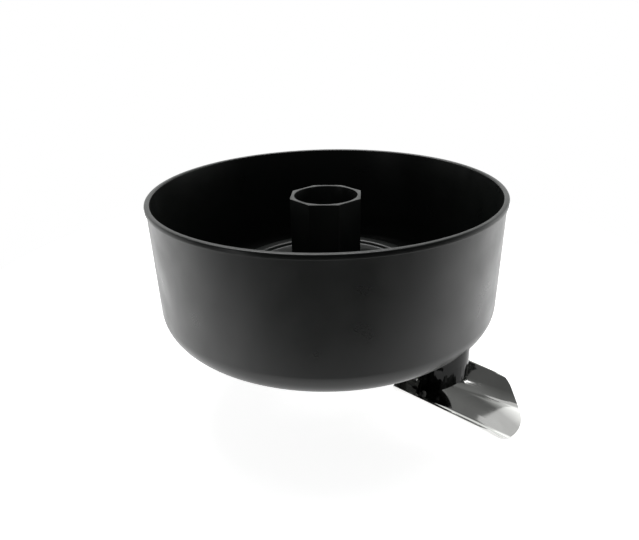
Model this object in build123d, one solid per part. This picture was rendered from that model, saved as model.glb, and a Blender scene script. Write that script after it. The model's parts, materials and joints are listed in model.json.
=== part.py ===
from build123d import *
import os
from math import cos, radians, sin, tan

# Juice bowl of a countertop citrus press: a round moulded bowl with an octagonal hub,
# a drain nozzle under its channel, and a stainless pouring spout that tips up to stop drips.
# Millimetres. Origin on the bowl's axis, level with its underside; +Z up; the spout points to -Y.

# ---- bowl ----
RIM_R = 100.0            # outer radius of the lip, the widest place
BOWL_H = 76.2            # underside to the top of the rim
LIP_H = 2.6              # height of the outward lip
LIP_STEP = 0.8           # how far the lip stands out from the wall
WALL = 2.5               # wall thickness
WALL_TAPER = 0.6         # how much the wall draws in from the lip down to the corner
CORNER_R = 15.0          # outer radius between wall and underside
FLOOR_T = 3.0            # floor thickness of the juice channel
PLATEAU_R = 60.5         # radius of the raised centre
PLATEAU_H = 22.5         # top of the raised centre
PLATEAU_T = 2.5          # its thickness
BEAD_IN_R = 53.0         # raised bead round the edge of the centre
BEAD_H = 2.0
SKIRT_R = 45.0           # bore of the skirt that drops over the motor neck
SKIRT_T = 3.0
RIB_COUNT = 8
RIB_T = 2.2

# ---- hub ----
HUB_TOP = 71.6
HUB_CORNER_R = 21.5      # centre to a corner of the octagon
HUB_BORE_R = 18.2
HUB_FLANGE_R = 30.0
HUB_FLANGE_T = 4.0
HUB_GASKET_T = 1.0
SEAL_R = 19.6
SEAL_H = 3.0
SCREW_CIRCLE_R = 25.2
SCREW_COUNT = 4
SCREW_R = 2.0
SCREW_HEAD_R = 3.6
SCREW_HEAD_H = 2.0
SCREW_LEN = 9.0
INSERT_R = 2.8
INSERT_LEN = 6.0
BOSS_R = 4.6
BOSS_H = 5.0
WASHER_R = 4.6
WASHER_T = 0.8
SEAT_R = 46.5            # groove above the socket that holds the seat ring
SEAT_Z = 15.0            # where the groove starts, and the socket ends

# ---- drain ----
DRAIN_D = 75.4           # bowl axis to drain axis
DRAIN_R = 13.2           # outside of neck and nozzle
DRAIN_BORE_R = 9.0
NECK_COLLAR_R = 10.8     # the neck's top, bonded in the hole in the bowl's floor
NECK_FILLET = 2.5        # flare of the neck where it meets the underside
NECK_LEN = 17.0          # full-width part of the neck below the bowl
SPIGOT_R = 11.3          # narrow end of the neck, inside the nozzle
SPIGOT_LEN = 11.0
FIT_GAP = 0.05
O_RING_MINOR_R = 0.7
MITRE_DEG = 28.9         # slant of the nozzle's lower end
NOZZLE_LOW_Z = -40.3     # lowest point of the nozzle, at its inner side

# ---- spout ----
SLOPE_DEG = 13.8         # fall of the spout when it pours
EDGE_Z = -31.8           # height of the spout's top edges at the drain axis
SPOUT_HALF_W = 26.2      # half the inside width at the top edges
SPOUT_WALL_LEAN = 0.936   # how far a side leans out for each millimetre of depth
SPOUT_DEPTH = 13.1       # inside depth at the back
OUTLET_DEPTH = 7.6       # inside depth at the tip of the rounded end
SPOUT_BEND_R = 14.0
SHEET = 1.2
SPOUT_BACK = -22.6       # back end, along the spout from the drain axis
SPOUT_SIDE_END = 26.0    # where the rounded end starts
TONGUE = 23.0            # length of the rounded end past that

# ---- pivot ----
PIVOT_D = 61.3           # bowl axis to pivot axis
PIVOT_Z = -27.0
PIN_R = 1.75
PIN_HEAD_R = 3.0
PIN_HEAD_T = 1.2
LUG_R = 4.2
LUG_HALF_W = 15.2
EAR_IN = 16.0
EAR_TOP = 4.0
BUSH_R = 2.8
BUSH_LEN = 6.0
PIVOT_WASHER_R = 3.9

LIP_Z = BOWL_H - LIP_H
WALL_R = RIM_R - LIP_STEP
LOW_WALL_R = WALL_R - WALL_TAPER
NECK_Z = -NECK_LEN
SPIGOT_Z = NECK_Z - SPIGOT_LEN
GASKET_TOP = PLATEAU_H + HUB_GASKET_T
FLANGE_TOP = GASKET_TOP + HUB_FLANGE_T
PLATEAU_UNDER = PLATEAU_H - PLATEAU_T
SPOUT_FRAME = Plane(
    origin=(0, -DRAIN_D, EDGE_Z),
    x_dir=(0, -cos(radians(SLOPE_DEG)), -sin(radians(SLOPE_DEG))),
    z_dir=(0, -sin(radians(SLOPE_DEG)), cos(radians(SLOPE_DEG))),
)
PIVOT_LOCAL = SPOUT_FRAME.to_local_coords(Vector(0, -PIVOT_D, PIVOT_Z))


def ring(outer, inner, low, high):
    """A plain ring on the Z axis between two heights."""
    height = high - low
    body = Cylinder(outer, height, align=(Align.CENTER, Align.CENTER, Align.MIN))
    hole = Cylinder(inner, height, align=(Align.CENTER, Align.CENTER, Align.MIN))
    return Pos(0, 0, low) * (body - hole)


def rod_x(radius, start, end, at_y, at_z):
    """A round rod along X."""
    rod = Cylinder(radius, end - start, align=(Align.CENTER, Align.CENTER, Align.MIN))
    return Pos(start, at_y, at_z) * Rot(0, 90, 0) * rod


def block(low, high):
    """A box given by its lowest and highest corners."""
    size = [high[i] - low[i] for i in range(3)]
    return Pos(*low) * Box(*size, align=(Align.MIN, Align.MIN, Align.MIN))


def round_the_screw_circle(shape):
    """Copies of a shape at each hub screw."""
    return [Rot(0, 0, 45 + k * 360 / SCREW_COUNT) * Pos(SCREW_CIRCLE_R, 0, 0) * shape
            for k in range(SCREW_COUNT)]


def bowl_profile():
    """Half section of the bowl: wall and lip, channel, and raised centre with its bead."""
    outline = Polyline(
        (HUB_BORE_R, PLATEAU_UNDER),
        (PLATEAU_R - WALL, PLATEAU_UNDER),
        (PLATEAU_R - WALL + 0.8, 0),
        (LOW_WALL_R, 0),
        (WALL_R, LIP_Z),
        (RIM_R, LIP_Z),
        (RIM_R, BOWL_H),
        (RIM_R - WALL - 0.4, BOWL_H),
        (LOW_WALL_R - WALL, FLOOR_T),
        (PLATEAU_R + 0.8, FLOOR_T),
        (PLATEAU_R, PLATEAU_H + BEAD_H),
        (BEAD_IN_R, PLATEAU_H + BEAD_H),
        (BEAD_IN_R - 0.6, PLATEAU_H),
        (HUB_BORE_R, PLATEAU_H),
        close=True,
    )
    return make_face(Plane.XZ * outline)


def corner_edges(shape, radius, height, tolerance=0.6):
    """Circular edges of a turned shape near a radius and height."""
    return [e for e in shape.edges().filter_by(GeomType.CIRCLE)
            if abs(e.radius - radius) < tolerance and abs(e.center().Z - height) < tolerance]


def bowl_shell():
    shell = revolve(bowl_profile(), Axis.Z)
    shell = fillet(corner_edges(shell, LOW_WALL_R, 0), CORNER_R)
    shell = fillet(corner_edges(shell, LOW_WALL_R - WALL, FLOOR_T), CORNER_R - WALL)
    shell = fillet(corner_edges(shell, PLATEAU_R + 0.8, FLOOR_T), 5.0)
    shell = fillet(corner_edges(shell, PLATEAU_R, PLATEAU_H + BEAD_H), 1.6)
    shell = fillet(corner_edges(shell, BEAD_IN_R, PLATEAU_H + BEAD_H), 1.2)
    rim_edges = corner_edges(shell, RIM_R, BOWL_H) + corner_edges(shell, RIM_R - WALL - 0.4, BOWL_H, 0.2)
    shell = fillet(rim_edges, 0.8)
    shell += ring(SKIRT_R + SKIRT_T, SKIRT_R, 0, PLATEAU_UNDER + 0.5)
    shell -= ring(SEAT_R, SKIRT_R - 5, SEAT_Z, PLATEAU_UNDER)
    for k in range(RIB_COUNT):
        rib = block((SKIRT_R + 1.5, -RIB_T / 2, 4), (PLATEAU_R - WALL + 1, RIB_T / 2, PLATEAU_UNDER + 0.5))
        shell += Rot(0, 0, 22.5 + k * 360 / RIB_COUNT) * rib
    shell -= Pos(0, -DRAIN_D, 0) * Cylinder(NECK_COLLAR_R, 3 * FLOOR_T)
    for hole in round_the_screw_circle(Cylinder(SCREW_R + 0.3, 60)):
        shell -= hole
    return shell


def drain_neck():
    """Stepped tube bonded in the floor: flared top, full-width neck, and narrow spigot."""
    outline = Polyline(
        (DRAIN_BORE_R, FLOOR_T),
        (NECK_COLLAR_R, FLOOR_T),
        (NECK_COLLAR_R, 0),
        (DRAIN_R + NECK_FILLET, 0),
        (DRAIN_R + NECK_FILLET, -0.6),
    )
    outline += ThreePointArc(
        (DRAIN_R + NECK_FILLET, -0.6),
        (DRAIN_R + NECK_FILLET * (1 - sin(radians(45))), -0.6 - NECK_FILLET * (1 - cos(radians(45)))),
        (DRAIN_R, -0.6 - NECK_FILLET),
    )
    outline += Polyline(
        (DRAIN_R, -0.6 - NECK_FILLET),
        (DRAIN_R, NECK_Z),
        (SPIGOT_R, NECK_Z),
        (SPIGOT_R, SPIGOT_Z),
        (DRAIN_BORE_R, SPIGOT_Z),
        (DRAIN_BORE_R, FLOOR_T),
    )
    neck = revolve(make_face(Plane.XZ * outline), Axis.Z)
    neck -= o_ring_shape(O_RING_MINOR_R + 0.02)
    return Pos(0, -DRAIN_D, 0) * neck


def o_ring_shape(minor_radius):
    """The ring that seals the spigot in the nozzle, on the drain axis."""
    centre_r = SPIGOT_R + FIT_GAP - O_RING_MINOR_R
    return Pos(0, 0, NECK_Z - SPIGOT_LEN / 2) * Torus(centre_r, minor_radius)


def octagon_prism(low, high):
    """The hub's octagon between two heights."""
    return Pos(0, 0, low) * extrude(RegularPolygon(HUB_CORNER_R, 8), high - low)


def hub_sleeve():
    sleeve = octagon_prism(GASKET_TOP, HUB_TOP)
    sleeve -= Cylinder(HUB_BORE_R, 200)
    sleeve -= ring(SEAL_R, HUB_BORE_R - 1, GASKET_TOP - 1, GASKET_TOP + SEAL_H)
    top = sleeve.faces().sort_by(Axis.Z)[-1]
    return chamfer(top.edges(), 0.5)


def hub_flange():
    """Flange welded round the sleeve's foot, with a boss over each screw."""
    flange = ring(HUB_FLANGE_R, HUB_BORE_R, GASKET_TOP, FLANGE_TOP)
    boss = Pos(0, 0, GASKET_TOP) * Cylinder(BOSS_R, HUB_FLANGE_T + BOSS_H,
                                            align=(Align.CENTER, Align.CENTER, Align.MIN))
    for one in round_the_screw_circle(boss):
        flange += one
    flange -= octagon_prism(GASKET_TOP - 1, HUB_TOP)
    pocket = Pos(0, 0, GASKET_TOP) * Cylinder(INSERT_R, INSERT_LEN,
                                              align=(Align.CENTER, Align.CENTER, Align.MIN))
    for one in round_the_screw_circle(pocket):
        flange -= one
    return flange


def hub_gasket():
    gasket = ring(HUB_FLANGE_R - 0.5, HUB_BORE_R, PLATEAU_H, GASKET_TOP)
    for hole in round_the_screw_circle(Cylinder(SCREW_R + 0.2, 80)):
        gasket -= hole
    return gasket


def hub_seal():
    seal = ring(SEAL_R, HUB_BORE_R, GASKET_TOP, GASKET_TOP + SEAL_H)
    inner = corner_edges(seal, HUB_BORE_R, GASKET_TOP + SEAL_H, 0.1)
    return chamfer(inner, 1.0)


def hub_inserts():
    one = Pos(0, 0, GASKET_TOP) * (
        Cylinder(INSERT_R, INSERT_LEN, align=(Align.CENTER, Align.CENTER, Align.MIN))
        - Cylinder(SCREW_R, 3 * INSERT_LEN))
    return Compound(children=round_the_screw_circle(one))


def hub_washers():
    one = ring(WASHER_R, SCREW_R + 0.2, PLATEAU_UNDER - WASHER_T, PLATEAU_UNDER)
    return Compound(children=round_the_screw_circle(one))


def hub_screws():
    under = PLATEAU_UNDER - WASHER_T
    head = Pos(0, 0, under) * Cylinder(SCREW_HEAD_R, SCREW_HEAD_H,
                                       align=(Align.CENTER, Align.CENTER, Align.MAX))
    head = fillet(head.edges().group_by(Axis.Z)[0], 1.0)
    drive = Pos(0, 0, under - SCREW_HEAD_H) * extrude(RegularPolygon(1.5, 6), 1.4)
    shank = Pos(0, 0, under) * Cylinder(SCREW_R, SCREW_LEN, align=(Align.CENTER, Align.CENTER, Align.MIN))
    return Compound(children=round_the_screw_circle(head - drive + shank))


def seat_ring():
    return ring(SEAT_R - FIT_GAP, SEAT_R - 9, SEAT_Z + 0.3, PLATEAU_UNDER)


def drain_nozzle():
    """Nozzle round the spigot, cut aslant below, with the pivot lug on its inner side."""
    tube = Pos(0, 0, NECK_Z) * Cylinder(DRAIN_R, 40, align=(Align.CENTER, Align.CENTER, Align.MAX))
    reach = DRAIN_D - PIVOT_D
    lug = rod_x(LUG_R, -LUG_HALF_W, LUG_HALF_W, reach, PIVOT_Z)
    lug += block((-LUG_HALF_W, reach - 8.0, PIVOT_Z - LUG_R), (LUG_HALF_W, reach, PIVOT_Z + LUG_R))
    nozzle = tube + lug
    nozzle -= Cylinder(DRAIN_BORE_R, 200)
    socket = Cylinder(SPIGOT_R + FIT_GAP, SPIGOT_LEN + FIT_GAP, align=(Align.CENTER, Align.CENTER, Align.MAX))
    nozzle -= Pos(0, 0, NECK_Z) * socket
    slant = Pos(0, DRAIN_R, NOZZLE_LOW_Z) * Rot(-MITRE_DEG, 0, 0) * Box(
        90, 200, 60, align=(Align.CENTER, Align.CENTER, Align.MAX))
    nozzle -= slant
    nozzle -= rod_x(PIN_R + 2 * FIT_GAP, -LUG_HALF_W, LUG_HALF_W, reach, PIVOT_Z)
    for start in (-LUG_HALF_W - 1, LUG_HALF_W - BUSH_LEN):
        nozzle -= rod_x(BUSH_R, start, start + BUSH_LEN + 1, reach, PIVOT_Z)
    return Pos(0, -DRAIN_D, 0) * nozzle


def drain_o_ring():
    return Pos(0, -DRAIN_D, 0) * o_ring_shape(O_RING_MINOR_R)


def pivot_bushes():
    sleeves = []
    for start in (-LUG_HALF_W, LUG_HALF_W - BUSH_LEN):
        outer = rod_x(BUSH_R, start, start + BUSH_LEN, -PIVOT_D, PIVOT_Z)
        sleeves.append(outer - rod_x(PIN_R + FIT_GAP, start - 1, start + BUSH_LEN + 1, -PIVOT_D, PIVOT_Z))
    return Compound(children=sleeves)


def spout_section(depth, grow):
    """The spout's inside section, closed across the top, grown outward by a thickness."""
    floor_half = SPOUT_HALF_W - depth * SPOUT_WALL_LEAN
    path = FilletPolyline(
        (-SPOUT_HALF_W, 0),
        (-floor_half, -depth),
        (floor_half, -depth),
        (SPOUT_HALF_W, 0),
        radius=SPOUT_BEND_R,
    )
    face = make_face(path + Line((SPOUT_HALF_W, 0), (-SPOUT_HALF_W, 0)))
    if grow:
        face = offset(face, grow)
    return face


def along_spout(grow, start, end):
    """The spout's inside, or its outside when grown, between two stations along it."""
    ends = []
    for station in (start, end):
        share = (station - SPOUT_BACK) / (SPOUT_SIDE_END + TONGUE - SPOUT_BACK)
        depth = SPOUT_DEPTH + share * (OUTLET_DEPTH - SPOUT_DEPTH)
        ends.append(Pos(station, 0, 0) * Plane.YZ.location * spout_section(depth, grow))
    return loft(ends, ruled=True)


def spout_trough():
    tip = SPOUT_SIDE_END + TONGUE
    trough = along_spout(SHEET, SPOUT_BACK, tip)
    trough -= along_spout(0, SPOUT_BACK - 1, tip + 1)
    trough -= block((SPOUT_BACK - 1, -40, 0), (tip + 1, 40, 10))
    plan = Rectangle(SPOUT_SIDE_END - SPOUT_BACK, 80, align=(Align.MIN, Align.CENTER))
    plan = Pos(SPOUT_BACK, 0) * plan + Pos(SPOUT_SIDE_END, 0) * Ellipse(TONGUE, SPOUT_HALF_W + SHEET)
    trough &= Pos(0, 0, -30) * extrude(plan, 60)
    return SPOUT_FRAME.location * trough


def spout_bracket():
    """Plate that closes the spout's back, with two ears bent forward to the pivot."""
    back = SPOUT_BACK
    bracket = along_spout(0, back, back + SHEET)
    for side in (-1, 1):
        near = side * EAR_IN
        far = side * (EAR_IN + SHEET)
        ear = block((back, min(near, far), -8), (PIVOT_LOCAL.X + LUG_R, max(near, far), EAR_TOP))
        bracket += ear
    rod = rod_x(PIN_R + 0.03, -40, 40, 0, 0)
    hole = Pos(PIVOT_LOCAL.X, 0, PIVOT_LOCAL.Z) * Rot(0, 0, 90) * rod
    return SPOUT_FRAME.location * (bracket - hole)


def pivot_pin():
    half = EAR_IN + SHEET
    pin = rod_x(PIN_R, -half, half + 2.4, -PIVOT_D, PIVOT_Z)
    pin += rod_x(PIN_HEAD_R, -half - PIN_HEAD_T, -half, -PIVOT_D, PIVOT_Z)
    groove = rod_x(PIN_R + 1, half + 0.4, half + 1.2, -PIVOT_D, PIVOT_Z)
    groove -= rod_x(PIN_R - 0.4, half, half + 2, -PIVOT_D, PIVOT_Z)
    return pin - groove


def pivot_clip():
    """Spring clip in the pin's groove, open below."""
    start = EAR_IN + SHEET + 0.45
    clip = rod_x(PIN_HEAD_R, start, start + 0.7, -PIVOT_D, PIVOT_Z)
    clip -= rod_x(PIN_R - 0.38, start - 1, start + 2, -PIVOT_D, PIVOT_Z)
    mouth = PIN_R - 0.6
    clip -= block((start - 1, -PIVOT_D - mouth, PIVOT_Z - 6), (start + 2, -PIVOT_D + mouth, PIVOT_Z))
    return clip


def pivot_washers():
    pieces = []
    for start in (-EAR_IN + 0.03, LUG_HALF_W + FIT_GAP):
        end = start + EAR_IN - LUG_HALF_W - FIT_GAP - 0.03
        disc = rod_x(PIVOT_WASHER_R, start, end, -PIVOT_D, PIVOT_Z)
        pieces.append(disc - rod_x(PIN_R + 0.03, start - 1, end + 1, -PIVOT_D, PIVOT_Z))
    return Compound(children=pieces)


NODES = {
    "bowl_shell": bowl_shell,
    "hub_sleeve": hub_sleeve,
    "hub_flange": hub_flange,
    "hub_gasket": hub_gasket,
    "hub_seal": hub_seal,
    "hub_inserts": hub_inserts,
    "hub_washers": hub_washers,
    "hub_screws": hub_screws,
    "seat_ring": seat_ring,
    "drain_neck": drain_neck,
    "drain_nozzle": drain_nozzle,
    "drain_o_ring": drain_o_ring,
    "pivot_bushes": pivot_bushes,
    "spout_trough": spout_trough,
    "spout_bracket": spout_bracket,
    "pivot_pin": pivot_pin,
    "pivot_clip": pivot_clip,
    "pivot_washers": pivot_washers,
}

os.makedirs("parts", exist_ok=True)
for name, make in NODES.items():
    shape = make()
    export_step(shape, "parts/" + name + ".step")
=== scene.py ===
# %% [markdown]
# # Juice bowl of a countertop citrus press
#
# A round black bowl catches juice, an octagonal hub in its middle drops over the drive
# column of the press, a slanted gloss nozzle drains the channel, and a polished steel
# spout hung on a pin under the nozzle pours the juice or tips up to stop the drips.
# This lesson loads the engineering model as a fixed frame and remakes the four pieces
# that the eye rests on, with soft moulded edges and real finishes.

# %% Load the frame
import json
import math
import bmesh
import bpy
from mathutils import Matrix, Vector


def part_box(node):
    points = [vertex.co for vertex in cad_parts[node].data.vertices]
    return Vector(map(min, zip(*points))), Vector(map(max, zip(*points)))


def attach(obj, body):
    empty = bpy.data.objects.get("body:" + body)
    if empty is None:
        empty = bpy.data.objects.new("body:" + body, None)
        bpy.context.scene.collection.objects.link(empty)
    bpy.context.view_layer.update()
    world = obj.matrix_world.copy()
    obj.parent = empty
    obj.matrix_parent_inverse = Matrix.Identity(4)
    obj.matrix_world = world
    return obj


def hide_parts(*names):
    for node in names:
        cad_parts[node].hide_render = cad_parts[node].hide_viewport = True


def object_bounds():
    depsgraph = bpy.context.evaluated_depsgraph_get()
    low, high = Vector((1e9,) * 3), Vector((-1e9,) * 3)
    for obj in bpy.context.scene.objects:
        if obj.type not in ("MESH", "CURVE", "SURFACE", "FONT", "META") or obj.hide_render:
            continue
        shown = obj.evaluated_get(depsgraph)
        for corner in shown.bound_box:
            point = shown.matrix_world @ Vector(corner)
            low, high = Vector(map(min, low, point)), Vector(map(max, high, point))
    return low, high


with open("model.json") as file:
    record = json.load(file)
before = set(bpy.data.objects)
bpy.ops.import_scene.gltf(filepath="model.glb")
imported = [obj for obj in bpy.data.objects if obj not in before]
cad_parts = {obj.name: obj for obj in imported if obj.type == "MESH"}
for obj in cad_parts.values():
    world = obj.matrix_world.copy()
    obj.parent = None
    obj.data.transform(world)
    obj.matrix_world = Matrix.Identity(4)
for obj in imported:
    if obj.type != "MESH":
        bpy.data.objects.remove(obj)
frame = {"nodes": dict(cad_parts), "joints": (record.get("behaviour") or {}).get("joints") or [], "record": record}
cad_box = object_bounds()
nodes = frame["nodes"]
mm = 0.001

# %% [markdown]
# ## Measures
#
# Every place comes from the frame: the box of a node gives its height and radius, and
# the joint gives the pivot. What a box can't tell, such as a wall thickness, the radius
# of an edge or the fall of the spout, repeats the engineering model in millimetres.

# %% Measures from the frame
rim_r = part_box("bowl_shell")[1].x
bowl_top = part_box("bowl_shell")[1].z
hub_low, hub_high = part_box("hub_sleeve")
flange_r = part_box("hub_flange")[1].x
neck_low, neck_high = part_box("drain_neck")
nozzle_low, nozzle_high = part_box("drain_nozzle")
drain_y = (neck_low.y + neck_high.y) / 2
pivot = Vector(frame["joints"][0]["pos_m"])
bore_r = [m for m in frame["record"]["mounts"] if m["name"] == "hub_bore"][0]["dims"]["r_mm"] * mm
screw_circle_r = 25.2
screw_centres = [Vector((math.cos(a), math.sin(a), 0)) * screw_circle_r * mm
                 for a in (math.radians(45 + 90 * k) for k in range(4))]
print("rim radius", round(rim_r, 4), "drain at y", round(drain_y, 4), "pivot", tuple(pivot))

# %% [markdown]
# ## Turned shapes
#
# The bowl, the nozzle and the rings are all moulded round one axis. A potter's way fits:
# draw half of the section as a closed line and spin it once round Z. The sharp corners
# of that line become circular edge loops, and a bevel on a loop rounds it to the exact
# radius, which is simpler and truer than drawing every arc by hand.

# %% Turn a section, and round one of its loops
SPIN_STEPS = 192


def turned(section, steps=SPIN_STEPS):
    """A closed half section of (radius, height) pairs spun once round the Z axis."""
    bm = bmesh.new()
    corners = [bm.verts.new((r, 0, z)) for r, z in section]
    sides = [bm.edges.new(pair) for pair in zip(corners, corners[1:] + corners[:1])]
    bmesh.ops.spin(bm, geom=corners + sides, cent=(0, 0, 0), axis=(0, 0, 1),
                   angle=2 * math.pi, steps=steps, use_merge=True, use_duplicate=False)
    bmesh.ops.remove_doubles(bm, verts=bm.verts, dist=0.001 * mm)
    bmesh.ops.recalc_face_normals(bm, faces=bm.faces)
    return bm


def round_loop(bm, radius, height, by, segments):
    """Rounds the circular edge loop at a radius and height."""
    near = 0.02 * mm

    def on_loop(vert):
        return abs(vert.co.xy.length - radius) < near and abs(vert.co.z - height) < near

    loop = [e for e in bm.edges if on_loop(e.verts[0]) and on_loop(e.verts[1])]
    bmesh.ops.bevel(bm, geom=loop, offset=by, offset_type="OFFSET", segments=segments,
                    profile=0.5, affect="EDGES", material=-1, clamp_overlap=False)
    return len(loop)


# %% [markdown]
# ## Solids to add and to take away
#
# Holes, lugs and ribs aren't round the axis, so they are made as plain tools, as a
# pattern maker would, and joined or cut with the exact Boolean. The result is applied
# straight away, so each finished piece is an ordinary closed mesh.

# %% Tools, Booleans, and finishing a piece
def rod(radius, length, centre, axis="Z", segments=64):
    """A round rod as a bmesh, centred on a point, along X or Z."""
    bm = bmesh.new()
    turn = Matrix.Rotation(math.pi / 2, 4, "Y") if axis == "X" else Matrix.Identity(4)
    bmesh.ops.create_cone(bm, cap_ends=True, cap_tris=False, segments=segments, radius1=radius,
                          radius2=radius, depth=length, matrix=Matrix.Translation(centre) @ turn)
    return bm


def block(low, high):
    """A block as a bmesh, between two corners."""
    low, high = Vector(low), Vector(high)
    bm = bmesh.new()
    place = Matrix.Translation((low + high) / 2) @ Matrix.Diagonal((*(high - low), 1))
    bmesh.ops.create_cube(bm, size=1, matrix=place)
    return bm


def as_object(bm, name):
    """A bmesh made an object, with its normals outward; the bmesh is freed."""
    bmesh.ops.recalc_face_normals(bm, faces=bm.faces)
    mesh = bpy.data.meshes.new(name)
    bm.to_mesh(mesh)
    bm.free()
    obj = bpy.data.objects.new(name, mesh)
    bpy.context.collection.objects.link(obj)
    return obj


def apply_modifiers(obj):
    """The mesh with its modifiers applied takes the old mesh's place."""
    graph = bpy.context.evaluated_depsgraph_get()
    mesh = bpy.data.meshes.new_from_object(obj.evaluated_get(graph))
    obj.modifiers.clear()
    obj.data = mesh
    return obj


def combine(obj, tools, operation):
    """Adds (UNION) or cuts away (DIFFERENCE) each tool, then drops it."""
    for bm in tools:
        tool = as_object(bm, "tool")
        boolean = obj.modifiers.new("cut", "BOOLEAN")
        boolean.operation = operation
        boolean.solver = "EXACT"
        boolean.object = tool
        apply_modifiers(obj)
        bpy.data.objects.remove(tool)
    return obj


def soften(obj, width, segments=2, angle=35):
    """A small round on every edge sharper than an angle, as a mould or a file leaves it."""
    bevel = obj.modifiers.new("soft edges", "BEVEL")
    bevel.width = width
    bevel.segments = segments
    bevel.limit_method = "ANGLE"
    bevel.angle_limit = math.radians(angle)
    bevel.miter_outer = "MITER_ARC"
    bevel.harden_normals = False
    return apply_modifiers(obj)


def place(obj, name, body, slot, *replaced, smooth_angle=32):
    """Names a finished piece, smooths it, and hangs it on its body in place of CAD nodes."""
    obj.name = name
    obj.data.name = name
    obj.data.shade_smooth()
    obj.data.set_sharp_from_angle(angle=math.radians(smooth_angle))
    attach(obj, body)
    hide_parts(*replaced)
    print(name, "faces", len(obj.data.polygons))
    return obj


# %% [markdown]
# ## Bowl
#
# The bowl is one injection moulding: an outer wall that draws in a little towards its
# large bottom corner, a square lip that stands out from the wall, a deep channel for
# the juice, and a raised centre with a bead round its edge. Below, a skirt and eight
# ribs, which nobody sees in use, are drawn to fit over the neck of the press. One
# section carries all of it except the ribs and the holes.

# %% Bowl section
lip_step, lip_h, lip_w = 0.8 * mm, 2.6 * mm, 2.9 * mm
wall_draw, centre_draw, bead_draw = 0.6 * mm, 0.8 * mm, 0.6 * mm
wall_r = rim_r - lip_step
low_wall_r = wall_r - wall_draw
lip_z = bowl_top - lip_h
wall = 2.5 * mm
floor_t = 3 * mm
centre_r = 60.5 * mm
centre_z = 22.5 * mm
centre_under = 20 * mm
bead_in_r = 53 * mm
bead_top = centre_z + 2 * mm
skirt_in, skirt_out = 45 * mm, 48 * mm
groove_r, groove_z = 46.5 * mm, 15 * mm
bowl_section = [
    (bore_r, centre_under), (groove_r, centre_under), (groove_r, groove_z), (skirt_in, groove_z),
    (skirt_in, 0), (skirt_out, 0),
    (skirt_out, centre_under), (centre_r - wall, centre_under), (centre_r - wall + centre_draw, 0),
    (low_wall_r, 0), (wall_r, lip_z), (rim_r, lip_z), (rim_r, bowl_top),
    (rim_r - lip_w, bowl_top), (low_wall_r - wall, floor_t), (centre_r + centre_draw, floor_t),
    (centre_r, bead_top), (bead_in_r, bead_top), (bead_in_r - bead_draw, centre_z), (bore_r, centre_z),
]
bowl_bm = turned(bowl_section)
bowl_loops = [
    (low_wall_r, 0, 15 * mm, 20), (low_wall_r - wall, floor_t, 12.5 * mm, 18),
    (centre_r + centre_draw, floor_t, 5 * mm, 8), (centre_r, bead_top, 1.6 * mm, 6),
    (bead_in_r, bead_top, 1.2 * mm, 5), (bead_in_r - bead_draw, centre_z, 0.8 * mm, 3),
    (rim_r, bowl_top, 0.8 * mm, 5), (rim_r - lip_w, bowl_top, 0.8 * mm, 5),
    (rim_r, lip_z, 0.3 * mm, 2), (wall_r, lip_z, 0.3 * mm, 2),
]
for radius, height, by, segments in bowl_loops:
    round_loop(bowl_bm, radius, height, by, segments)
print("bowl section corners", len(bowl_section), "faces", len(bowl_bm.faces))

# %% [markdown]
# The ribs and the holes come last, because a Boolean leaves faces that a bevel on a
# loop would trip over. The drain hole takes the collar of the neck, and four holes let
# the hub screws up through the raised centre.

# %% Bowl ribs and holes
rib_count, rib_half_t, rib_foot = 8, 1.1 * mm, 4 * mm
collar_r, screw_hole_r = 10.8 * mm, 2.3 * mm
ribs = []
for k in range(rib_count):
    rib = block((skirt_out - 1 * mm, -rib_half_t, rib_foot),
                (centre_r - wall + 0.9 * mm, rib_half_t, centre_under + 1 * mm))
    rib_turn = Matrix.Rotation(math.radians(22.5 + 360 / rib_count * k), 3, "Z")
    bmesh.ops.rotate(rib, verts=rib.verts, cent=(0, 0, 0), matrix=rib_turn)
    ribs.append(rib)
holes = [rod(collar_r, 9 * mm, Vector((0, drain_y, 0)))]
holes += [rod(screw_hole_r, 20 * mm, centre + Vector((0, 0, centre_z)), segments=32)
          for centre in screw_centres]
bowl = as_object(bowl_bm, "bowl_body")
combine(bowl, ribs, "UNION")
combine(bowl, holes, "DIFFERENCE")
place(bowl, "bowl_body", "bowl", "bowl_plastic", "bowl_shell", smooth_angle=28)

# %% [markdown]
# ## Hub
#
# The hub is an octagonal sleeve on a round flange. Eight flats could key the strainer
# of the press, and the round bore slides over the drive column. An
# eight-sided prism joined to round tools gives it in a few strokes, and a fine bevel
# leaves the soft corners that catch the light.

# %% Hub
hub_foot = hub_low.z
hub_tall = hub_high.z - hub_foot
hub_corner_r, flange_t = 21.5 * mm, 4 * mm
boss_r, seal_r, insert_r = 4.6 * mm, 19.6 * mm, 2.8 * mm
hub_middle = Vector((0, 0, hub_foot + hub_tall / 2))
hub = as_object(rod(hub_corner_r, hub_tall, hub_middle, segments=8), "hub")
flange = rod(flange_r, flange_t, Vector((0, 0, hub_foot + flange_t / 2)), segments=128)
bosses = [rod(boss_r, 9 * mm, c + Vector((0, 0, hub_foot + 4.5 * mm)), segments=48)
          for c in screw_centres]
combine(hub, [flange] + bosses, "UNION")
hub_bores = [rod(bore_r, 200 * mm, Vector((0, 0, 0)), segments=128),
             rod(seal_r, 6 * mm, Vector((0, 0, hub_foot)), segments=128)]
hub_bores += [rod(insert_r, 12 * mm, c + Vector((0, 0, hub_foot)), segments=32)
              for c in screw_centres]
combine(hub, hub_bores, "DIFFERENCE")
soften(hub, 0.45 * mm, segments=3)
place(hub, "hub_octagon", "bowl", "bowl_plastic", "hub_sleeve", "hub_flange")

# %% [markdown]
# ## Drain nozzle
#
# The nozzle is a gloss tube that slides over the neck, cut aslant at its mouth so that
# the last drop gathers at one point, with a lug across its inner side for the pin. It
# is cut from the solid: a rod is sawn off by a tilted block, the lug is added, and the
# bores are drilled last, so that no two faces of the tools ever lie on each other.

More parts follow.
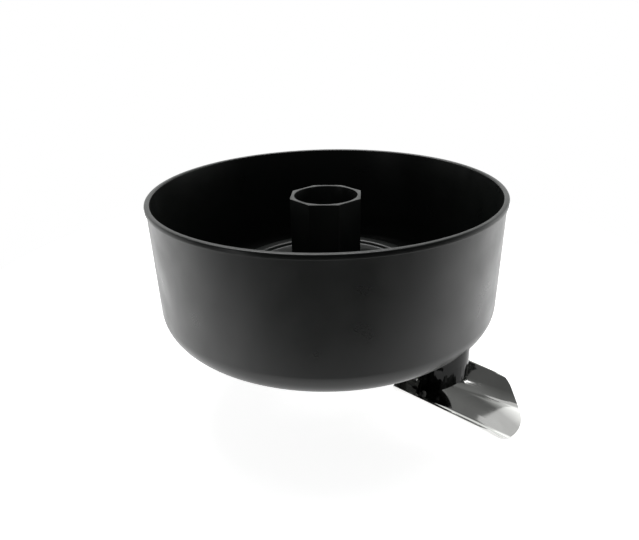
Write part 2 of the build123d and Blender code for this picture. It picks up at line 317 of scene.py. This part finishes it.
# %% Nozzle rod and its slanted mouth
nozzle_r = 13.2 * mm
drain_bore = 9 * mm
socket_r = 11.35 * mm
nozzle_top = nozzle_high.z
socket_end = nozzle_top - 11.05 * mm
nozzle_middle = Vector((0, drain_y, nozzle_top - 30 * mm))
nozzle = as_object(rod(nozzle_r, 60 * mm, nozzle_middle, segments=160), "nozzle")
mitre = math.radians(28.9)
mouth_low = Vector((0, drain_y + nozzle_r, nozzle_low.z))
saw = block((-40 * mm, -90 * mm, -60 * mm), (40 * mm, 40 * mm, 0))
bmesh.ops.rotate(saw, verts=saw.verts, cent=(0, 0, 0), matrix=Matrix.Rotation(-mitre, 3, "X"))
bmesh.ops.translate(saw, verts=saw.verts, vec=mouth_low)
combine(nozzle, [saw], "DIFFERENCE")
print("nozzle mouth slants", round(math.degrees(mitre), 1), "degrees")

# %% Nozzle lug and pin bore
lug_half = nozzle_high.x
lug_r, pin_bore_r, bush_r = 4.2 * mm, 1.85 * mm, 2.8 * mm
lug = [rod(lug_r, 2 * lug_half, pivot, axis="X", segments=64),
       block((-lug_half, pivot.y - 8 * mm, pivot.z - lug_r), (lug_half, pivot.y, pivot.z + lug_r))]
combine(nozzle, lug, "UNION")
combine(nozzle, [rod(drain_bore, 60 * mm, Vector((0, drain_y, -30 * mm)), segments=160),
                 rod(socket_r, 40 * mm, Vector((0, drain_y, socket_end + 20 * mm)), segments=160),
                 rod(pin_bore_r, 60 * mm, pivot, axis="X", segments=48),
                 rod(bush_r, 12 * mm, pivot + Vector((lug_half, 0, 0)), axis="X", segments=48),
                 rod(bush_r, 12 * mm, pivot - Vector((lug_half, 0, 0)), axis="X", segments=48)], "DIFFERENCE")
soften(nozzle, 0.4 * mm, segments=3, angle=38)
place(nozzle, "drain_nozzle_gloss", "bowl", "nozzle_plastic", "drain_nozzle", smooth_angle=36)

# %% [markdown]
# ## Spout
#
# The spout is one piece of thin stainless sheet, bent along two soft lines into a
# channel that grows shallower towards its long rounded end, then polished. It is
# made the same way here: a flat strip of three facets, a wide bevel for the two bends,
# a thickness with Solidify, and then its half-elliptical end is cut out of it.

# %% Spout's own axes
slope = math.radians(13.8)
edge_z = -31.8 * mm
downhill = Vector((0, -math.cos(slope), -math.sin(slope)))
upward = Vector((0, -math.sin(slope), math.cos(slope)))
spout_axes = Matrix.Translation((0, drain_y, edge_z)) @ Matrix((
    (downhill.x, 1, upward.x, 0), (downhill.y, 0, upward.y, 0),
    (downhill.z, 0, upward.z, 0), (0, 0, 0, 1)))
spout_half_w, wall_lean = 26.2 * mm, 0.936
back_depth, tip_depth = 13.1 * mm, 7.6 * mm
sheet, bend_r = 1.2 * mm, 14 * mm
spout_back, side_end, tongue = -22.6 * mm, 26 * mm, 23 * mm
# The strip starts a little too wide, and is trimmed level with the top edges later.
print("spout falls", round(math.degrees(slope), 1), "degrees")

# %% Spout sheet
spout_bm = bmesh.new()
spare_h = 2 * mm
wide = spout_half_w + spare_h * wall_lean
floor_half_w = spout_half_w - back_depth * wall_lean
across = [(-wide, spare_h), (-floor_half_w, -back_depth),
          (floor_half_w, -back_depth), (wide, spare_h)]
line = [spout_bm.verts.new((spout_back, y, z)) for y, z in across]
for pair in zip(line, line[1:]):
    spout_bm.edges.new(pair)
run = bmesh.ops.extrude_edge_only(spout_bm, edges=spout_bm.edges[:])
moved = [g for g in run["geom"] if isinstance(g, bmesh.types.BMVert)]
bmesh.ops.translate(spout_bm, verts=moved, vec=(side_end + tongue - spout_back, 0, 0))
rise = back_depth - tip_depth
for low_corner in [v for v in moved if v.co.z < 0]:
    outward = math.copysign(rise * wall_lean, low_corner.co.y)
    bmesh.ops.translate(spout_bm, verts=[low_corner], vec=(0, outward, rise))
turn = math.atan2(1, wall_lean)
bends = [e for e in spout_bm.edges if all(v.co.z < -5 * mm for v in e.verts)
         and abs(e.verts[0].co.x - e.verts[1].co.x) > 20 * mm]
bmesh.ops.bevel(spout_bm, geom=bends, offset=bend_r * math.tan(turn / 2), offset_type="OFFSET",
                segments=24, profile=0.5, affect="EDGES", material=-1)
bmesh.ops.recalc_face_normals(spout_bm, faces=spout_bm.faces)
if sum(f.normal.z for f in spout_bm.faces) < 0:
    bmesh.ops.reverse_faces(spout_bm, faces=spout_bm.faces)
spout = bpy.data.objects.new("spout", bpy.data.meshes.new("spout"))
spout_bm.to_mesh(spout.data)
spout_bm.free()
bpy.context.collection.objects.link(spout)
thick = spout.modifiers.new("sheet", "SOLIDIFY")
thick.thickness = sheet
thick.offset = -1
thick.use_even_offset = True
apply_modifiers(spout)
print("bends", len(bends), "faces", len(spout.data.polygons))

# %% Spout outline
outer_half_w = spout_half_w + sheet
outline = bmesh.new()
bmesh.ops.create_cone(outline, cap_ends=True, cap_tris=False, segments=160,
                      radius1=1, radius2=1, depth=1,
                      matrix=Matrix.Translation((side_end, 0, -15 * mm))
                      @ Matrix.Diagonal((tongue, outer_half_w, 30 * mm, 1)))
straight = block((spout_back - 5 * mm, -outer_half_w, -30 * mm), (side_end, outer_half_w, 0))
keep = as_object(outline, "keep")
combine(keep, [straight], "UNION")
boolean = spout.modifiers.new("outline", "BOOLEAN")
boolean.operation, boolean.solver, boolean.object = "INTERSECT", "EXACT", keep
apply_modifiers(spout)
bpy.data.objects.remove(keep)
soften(spout, 0.28 * mm, segments=2, angle=50)
spout.data.transform(spout_axes)
place(spout, "spout_polished", "spout", "spout_steel", "spout_trough", smooth_angle=30)

# %% [markdown]
# ## Finishes
#
# Each finish is a node material that reads the piece's own Object coordinates, which
# here are the frame's metres, so a grain keeps its true scale. A moulded or rubbed
# surface is told by three quiet things: fine bumps, roughness that isn't even, and a
# colour that drifts a little. Paler edges, a painted highlight, come from the curvature of the mesh.

# %% Node helpers
def new_material(name, metallic=0.0, ior=1.5, level=0.5):
    """A material with one Principled shader, and its tree."""
    mat = bpy.data.materials.new(name)
    mat.use_nodes = True
    tree = mat.node_tree
    shader = tree.nodes["Principled BSDF"]
    shader.inputs["Metallic"].default_value = metallic
    shader.inputs["IOR"].default_value = ior
    shader.inputs["Specular IOR Level"].default_value = level
    return mat, tree, shader


def noise(tree, scale, detail=3.0, stretch=(1, 1, 1), distortion=0.0):
    """Noise of so many features to the metre, drawn out along an axis by stretch."""
    coords = tree.nodes.new("ShaderNodeTexCoord")
    mapping = tree.nodes.new("ShaderNodeMapping")
    mapping.inputs["Scale"].default_value = stretch
    tex = tree.nodes.new("ShaderNodeTexNoise")
    tex.inputs["Scale"].default_value = scale
    tex.inputs["Detail"].default_value = detail
    tex.inputs["Distortion"].default_value = distortion
    tree.links.new(coords.outputs["Object"], mapping.inputs["Vector"])
    tree.links.new(mapping.outputs["Vector"], tex.inputs["Vector"])
    return tex.outputs["Fac"]


def spread(tree, value, low, high, start=0.3, stop=0.7):
    """Maps a 0 to 1 pattern to a range of values."""
    node = tree.nodes.new("ShaderNodeMapRange")
    node.inputs["From Min"].default_value = start
    node.inputs["From Max"].default_value = stop
    node.inputs["To Min"].default_value = low
    node.inputs["To Max"].default_value = high
    tree.links.new(value, node.inputs["Value"])
    return node.outputs["Result"]


def tint(tree, factor, dark, light):
    """A colour between two, by a factor that is a socket."""
    node = tree.nodes.new("ShaderNodeMix")
    node.data_type = "RGBA"
    for socket, colour in ((node.inputs[6], dark), (node.inputs[7], light)):
        if hasattr(colour, "links"):
            tree.links.new(colour, socket)
        else:
            socket.default_value = (*colour, 1)
    tree.links.new(factor, node.inputs[0])
    return node.outputs[2]


def bumps(tree, shader, layers):
    """Chains bump layers of (pattern, depth in metres) into the shader's normal."""
    normal = None
    for height, depth in layers:
        node = tree.nodes.new("ShaderNodeBump")
        node.inputs["Strength"].default_value = 1.0
        node.inputs["Distance"].default_value = depth
        tree.links.new(height, node.inputs["Height"])
        if normal:
            tree.links.new(normal, node.inputs["Normal"])
        normal = node.outputs["Normal"]
    tree.links.new(normal, shader.inputs["Normal"])


def edges(tree, start=0.53, stop=0.6):
    """1 on outer edges of the mesh, 0 elsewhere."""
    geometry = tree.nodes.new("ShaderNodeNewGeometry")
    return spread(tree, geometry.outputs["Pointiness"], 0.0, 1.0, start, stop)


# %% [markdown]
# ### Satin black moulding
#
# The bowl's mould was spark-eroded to a fine satin, so the plastic is deep black where
# it faces us and pale grey only where light grazes it. A fine grain under a broad,
# faint unevenness of shrinkage does that; the lip and corners are painted paler from
# the curvature of the mesh, a painted highlight.

# %% Satin black
def satin_black():
    mat, tree, shader = new_material("satin_black_moulding", ior=1.5)
    drift = noise(tree, 22, 4)
    base = tint(tree, spread(tree, drift, 0, 1), (0.0065, 0.0078, 0.0072), (0.0095, 0.0112, 0.0102))
    # The lip and corners are painted paler by the curvature of the mesh: a painted highlight.
    painted_highlight_colour = tint(tree, edges(tree), base, (0.022, 0.024, 0.023))
    tree.links.new(painted_highlight_colour, shader.inputs["Base Color"])
    tree.links.new(spread(tree, noise(tree, 60, 6), 0.27, 0.36), shader.inputs["Roughness"])
    bumps(tree, shader, [(noise(tree, 9, 2), 0.00022), (noise(tree, 2600, 2), 0.0000035)])
    return mat


# %% [markdown]
# ### Gloss black moulding
#
# The nozzle and the neck come from a polished mould, so they mirror the room sharply,
# with a slight orange-peel wave and a few rubbed, duller patches from handling.

# %% Gloss black
def gloss_black():
    mat, tree, shader = new_material("gloss_black_moulding", ior=1.5, level=0.27)
    drift = spread(tree, noise(tree, 40, 3), 0, 1)
    base = tint(tree, drift, (0.004, 0.0045, 0.0042), (0.007, 0.0078, 0.0072))
    tree.links.new(base, shader.inputs["Base Color"])
    rubbed = noise(tree, 95, 5, distortion=0.4)
    tree.links.new(spread(tree, rubbed, 0.05, 0.15, 0.4, 0.75), shader.inputs["Roughness"])
    bumps(tree, shader, [(noise(tree, 120, 1), 0.00002)])
    return mat


# %% [markdown]
# ### Polished stainless
#
# Buffed sheet is never quite flat: it mirrors the room in soft waves along its length.
# Under the polish there are hair lines along the run of the buff, and faint smudges
# from fingers and juice, which only change how rough it is.

# %% Stainless steels
def polished_steel():
    mat, tree, shader = new_material("polished_stainless", metallic=1.0)
    smudge = noise(tree, 55, 6, distortion=0.6)
    base = tint(tree, spread(tree, smudge, 0, 1), (0.66, 0.66, 0.645), (0.74, 0.74, 0.725))
    tree.links.new(base, shader.inputs["Base Color"])
    tree.links.new(spread(tree, smudge, 0.045, 0.14, 0.35, 0.75), shader.inputs["Roughness"])
    hairs = noise(tree, 900, 2, stretch=(1, 0.02, 0.05))
    waves = noise(tree, 26, 1, stretch=(1, 0.5, 0.6))
    bumps(tree, shader, [(waves, 0.00035), (hairs, 0.0000012)])
    return mat


def plain_steel():
    mat, tree, shader = new_material("plain_stainless", metallic=1.0)
    marks = noise(tree, 400, 5)
    base = tint(tree, spread(tree, marks, 0, 1), (0.5, 0.5, 0.49), (0.62, 0.62, 0.6))
    tree.links.new(base, shader.inputs["Base Color"])
    tree.links.new(spread(tree, marks, 0.2, 0.38), shader.inputs["Roughness"])
    bumps(tree, shader, [(noise(tree, 1800, 2, stretch=(0.1, 1, 1)), 0.000006)])
    return mat


# %% [markdown]
# ### Brass, nylon and rubber
#
# The small pieces inside the joint and the hub: turned brass with fine rings, waxy
# natural nylon that lets a little light in, and matt black rubber with a dusty bloom.

# %% Small-part finishes
def turned_brass():
    mat, tree, shader = new_material("turned_brass", metallic=1.0)
    tone = noise(tree, 500, 4)
    base = tint(tree, spread(tree, tone, 0, 1), (0.60, 0.42, 0.17), (0.75, 0.57, 0.27))
    tree.links.new(base, shader.inputs["Base Color"])
    tree.links.new(spread(tree, tone, 0.22, 0.4), shader.inputs["Roughness"])
    bumps(tree, shader, [(noise(tree, 2500, 1, stretch=(0.2, 0.2, 1)), 0.000008)])
    return mat


def natural_nylon():
    mat, tree, shader = new_material("natural_nylon", ior=1.53)
    tone = noise(tree, 260, 4)
    base = tint(tree, spread(tree, tone, 0, 1), (0.66, 0.63, 0.55), (0.78, 0.76, 0.69))
    tree.links.new(base, shader.inputs["Base Color"])
    tree.links.new(spread(tree, tone, 0.38, 0.52), shader.inputs["Roughness"])
    shader.inputs["Subsurface Weight"].default_value = 0.15
    shader.inputs["Subsurface Scale"].default_value = 0.001
    bumps(tree, shader, [(noise(tree, 1500, 2), 0.000006)])
    return mat


def black_rubber():
    mat, tree, shader = new_material("black_rubber", ior=1.5)
    bloom = noise(tree, 180, 6)
    base = tint(tree, spread(tree, bloom, 0, 1), (0.012, 0.012, 0.012), (0.03, 0.03, 0.029))
    tree.links.new(base, shader.inputs["Base Color"])
    tree.links.new(spread(tree, bloom, 0.6, 0.85), shader.inputs["Roughness"])
    shader.inputs["Sheen Weight"].default_value = 0.12
    bumps(tree, shader, [(noise(tree, 1400, 3), 0.00001)])
    return mat


# %% Dress every piece by its slot
finishes = {
    "bowl_plastic": satin_black(),
    "nozzle_plastic": gloss_black(),
    "spout_steel": polished_steel(),
    "steel_hardware": plain_steel(),
    "insert_brass": turned_brass(),
    "bush_nylon": natural_nylon(),
    "seal_rubber": black_rubber(),
}
dressed = [(nodes[part["node"]], part["material_slot"]) for part in frame["record"]["subparts"]]
dressed += [(bpy.data.objects[name], slot) for name, slot in (
    ("bowl_body", "bowl_plastic"), ("hub_octagon", "bowl_plastic"),
    ("drain_nozzle_gloss", "nozzle_plastic"), ("spout_polished", "spout_steel"))]
for piece, slot in dressed:
    piece.data.materials.clear()
    piece.data.materials.append(finishes[slot])
print("dressed", len(dressed), "pieces in", len(finishes), "finishes")

# %% [markdown]
# ## Studio
#
# Black plastic and mirror steel have almost no colour of their own, so the room makes
# the picture. Pale walls stand behind and beside the piece and give the black wall its
# grey sides, and the side towards the viewer is dark, so its middle stays deep black.
# The pale floor ends a little way in front, which leaves the lower wall lighter than
# the upper one.

# %% Viewpoint
view_turn = math.radians(-64.0)
pitch, roll, yaw = math.radians(24.28), math.radians(-1.473), math.radians(-0.871)
ahead = Vector((math.sin(yaw) * math.cos(pitch), math.cos(yaw) * math.cos(pitch), -math.sin(pitch)))
level = Vector((math.cos(yaw), -math.sin(yaw), 0))
above = level.cross(ahead)
right = math.cos(roll) * level + math.sin(roll) * above
top = -math.sin(roll) * level + math.cos(roll) * above
stand = Vector((0, -309.76 * mm, 164.15 * mm))
camera = bpy.data.objects.new("camera", bpy.data.cameras.new("camera"))
camera.data.sensor_width = 36
camera.data.lens = 31.55
camera.data.clip_start = 0.01
camera.matrix_world = Matrix.Rotation(view_turn, 4, "Z") @ Matrix((
    (right.x, top.x, -ahead.x, stand.x), (right.y, top.y, -ahead.y, stand.y),
    (right.z, top.z, -ahead.z, stand.z), (0, 0, 0, 1)))
bpy.context.collection.objects.link(camera)
bpy.context.scene.camera = camera
print("camera at", tuple(round(c, 3) for c in camera.matrix_world.translation))

# %% Floor
floor_z = cad_box[0][2]
floor_r, floor_shift = 0.32, 0.14
floor_bm = bmesh.new()
bmesh.ops.create_circle(floor_bm, cap_ends=True, cap_tris=False, segments=96, radius=floor_r)
behind = Matrix.Rotation(view_turn, 3, "Z") @ Vector((0, floor_shift, 0))
bmesh.ops.translate(floor_bm, verts=floor_bm.verts, vec=(behind.x, behind.y, floor_z - 0.2 * mm))
floor = as_object(floor_bm, "floor")
if floor.data.polygons[0].normal.z < 0:
    floor.data.flip_normals()
floor_mat, floor_tree, floor_shader = new_material("pale_floor")
floor_tone = tint(floor_tree, noise(floor_tree, 8, 2), (0.88, 0.88, 0.88), (0.9, 0.9, 0.9))
floor_tree.links.new(floor_tone, floor_shader.inputs["Base Color"])
floor_shader.inputs["Roughness"].default_value = 0.9
floor_shader.inputs["Specular IOR Level"].default_value = 0.0
floor_shader.inputs["Emission Color"].default_value = (1, 1, 1, 1)
floor_shader.inputs["Emission Strength"].default_value = 0.85
floor.data.materials.append(floor_mat)

# %% Room
world = bpy.data.worlds.new("room")
bpy.context.scene.world = world
world.use_nodes = True
tree = world.node_tree
tree.nodes.clear()
coords = tree.nodes.new("ShaderNodeTexCoord")
to_viewer = Matrix.Rotation(view_turn, 3, "Z") @ Vector((0, -1, 0))
facing = tree.nodes.new("ShaderNodeVectorMath")
facing.operation = "DOT_PRODUCT"
facing.inputs[1].default_value = to_viewer
tree.links.new(coords.outputs["Generated"], facing.inputs[0])
height = tree.nodes.new("ShaderNodeSeparateXYZ")
tree.links.new(coords.outputs["Generated"], height.inputs[0])
walls = spread(tree, facing.outputs["Value"], 1.0, 0.05, -0.46, 0.26)
ceiling = spread(tree, height.outputs["Z"], 1.0, 0.10, 0.38, 0.53)
tone = tree.nodes.new("ShaderNodeMath")
tone.operation = "MULTIPLY"
tree.links.new(walls, tone.inputs[0])
tree.links.new(ceiling, tone.inputs[1])
overhead = tree.nodes.new("ShaderNodeMath")
overhead.operation = "ADD"
tree.links.new(tone.outputs[0], overhead.inputs[0])
tree.links.new(spread(tree, height.outputs["Z"], 0.0, 0.085, 0.5, 0.72), overhead.inputs[1])
room = tree.nodes.new("ShaderNodeBackground")
room.inputs["Color"].default_value = (0.985, 1.0, 0.985, 1)
tree.links.new(overhead.outputs[0], room.inputs["Strength"])
backdrop = tree.nodes.new("ShaderNodeBackground")
backdrop.inputs["Color"].default_value = (1, 1, 1, 1)
path = tree.nodes.new("ShaderNodeLightPath")
pick = tree.nodes.new("ShaderNodeMixShader")
tree.links.new(path.outputs["Is Camera Ray"], pick.inputs[0])
tree.links.new(room.outputs[0], pick.inputs[1])
tree.links.new(backdrop.outputs[0], pick.inputs[2])
output = tree.nodes.new("ShaderNodeOutputWorld")
tree.links.new(pick.outputs[0], output.inputs["Surface"])
bpy.context.scene.view_settings.view_transform = "Standard"

# %% Soft lights
def soft_light(name, turn_deg, height_m, away, size, watts):
    """A soft box turned round the piece from the viewer's side, aimed at its middle."""
    light = bpy.data.lights.new(name, "AREA")
    light.shape = "RECTANGLE"
    light.size, light.size_y = size
    light.energy = watts
    obj = bpy.data.objects.new(name, light)
    bpy.context.collection.objects.link(obj)
    angle = view_turn + math.radians(turn_deg)
    spot = Vector((math.sin(angle) * away, -math.cos(angle) * away, height_m))
    obj.location = spot
    obj.rotation_euler = (Vector((0, 0, 0)) - spot).to_track_quat("-Z", "Y").to_euler()
    return obj


soft_light("key", -165, 0.9, 0.6, (0.8, 0.3), 5)
soft_light("top", 180, 1.2, 0.2, (0.8, 0.6), 5)
soft_light("strip", -50, 0.0, 0.5, (0.05, 0.5), 0.12)
beside = soft_light("beside", 0, 0, 1, (0.4, 0.36), 0.24)
beside.location = (0.405, drain_y - 0.352, 0.2)
beside.rotation_euler = (math.pi / 2, 0, math.pi / 2)

# %% Size of the frame
print("cad box", [tuple(c) for c in cad_box])
